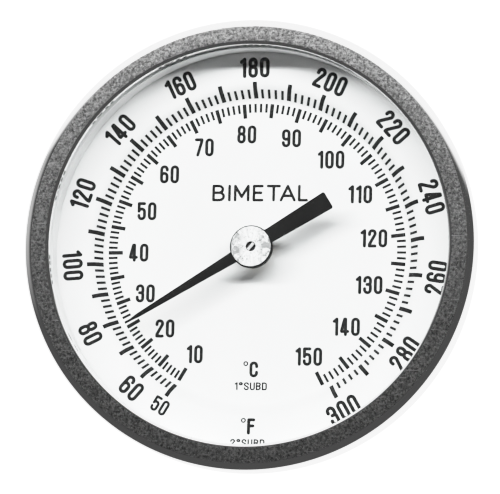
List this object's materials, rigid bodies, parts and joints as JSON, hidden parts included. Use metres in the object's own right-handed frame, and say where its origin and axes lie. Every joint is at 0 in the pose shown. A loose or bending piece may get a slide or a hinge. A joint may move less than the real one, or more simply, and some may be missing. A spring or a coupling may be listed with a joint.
{
  "type": "bimetal dial thermometer",
  "caption": "Back-connected bimetal dial thermometer with a pipe-threaded stem, a turning pointer behind a lens and a rear reset screw that turns the dial.",
  "frame": {"origin": "on the stem's axis, in the plane of the hex shoulder at the large end of the pipe thread", "axes": "+Y along the stem towards its tip, +Z to twelve o'clock on the dial, which faces -Y"},
  "size_m": [0.0824, 0.1029, 0.0824],
  "materials": {
    "bezel_steel": "bead-blasted stainless face with a polished rounded edge",
    "case_steel": "drawn stainless, satin",
    "connection_steel": "turned stainless",
    "stem_steel": "drawn stainless tube",
    "plain_steel": "plain stainless",
    "shaft_steel": "ground",
    "lens": "flat clear window",
    "white_silicone": "matte white",
    "black_rubber": "matte black",
    "turned_brass": "turned",
    "bimetal_strip": "rolled strip",
    "dial_enamel": "satin white with black printed scales",
    "pointer_black": "matte black",
    "hub_aluminium": "spun aluminium"
  },
  "bodies": {
    "housing": {"bezel_ring": "bezel_steel", "lens_glass": "lens", "lens_gasket": "white_silicone", "case_shell": "case_steel", "case_washer": "black_rubber", "lock_washer": "plain_steel", "case_lock_nut": "plain_steel", "dial_seat_ring": "plain_steel", "process_connection": "connection_steel", "stem_tube": "stem_steel", "stem_tip_plug": "stem_steel", "coil_anchor": "turned_brass", "upper_guide_bush": "turned_brass", "lower_guide_bush": "turned_brass", "bimetal_helix": "bimetal_strip", "center_post": "turned_brass", "shaft_bush": "turned_brass", "reset_bush": "turned_brass", "reset_seal": "black_rubber"},
    "pointer": {"pointer_blade": "pointer_black", "pointer_boss": "pointer_black", "hub_disc": "hub_aluminium", "pointer_shaft": "shaft_steel", "thrust_collar": "turned_brass", "coil_collar": "turned_brass"},
    "dial": {"dial_plate": "dial_enamel", "dial_carrier": "turned_brass"},
    "reset": {"reset_screw": "plain_steel", "reset_pinion": "turned_brass", "reset_clip": "plain_steel"}
  },
  "joints": [
    {"name": "pointer_turn", "type": "hinge", "parent": "housing", "child": "pointer", "pos_m": [0, -0.0335, 0], "axis": [0, 1, 0], "range_deg": [-28, 271.5], "stiffness_Nm_per_rad": 0.0002},
    {"name": "dial_turn", "type": "hinge", "parent": "housing", "child": "dial", "pos_m": [0, -0.0264, 0], "axis": [0, 1, 0], "range_deg": [-10, 10]},
    {"name": "reset_turn", "type": "hinge", "parent": "housing", "child": "reset", "pos_m": [0, -0.016, -0.0295], "axis": [0, 1, 0], "range_deg": [-50, 50]}
  ],
  "couplings": [
    {"joint": "reset_turn", "follows": "dial_turn", "ratio": -5}
  ]
}
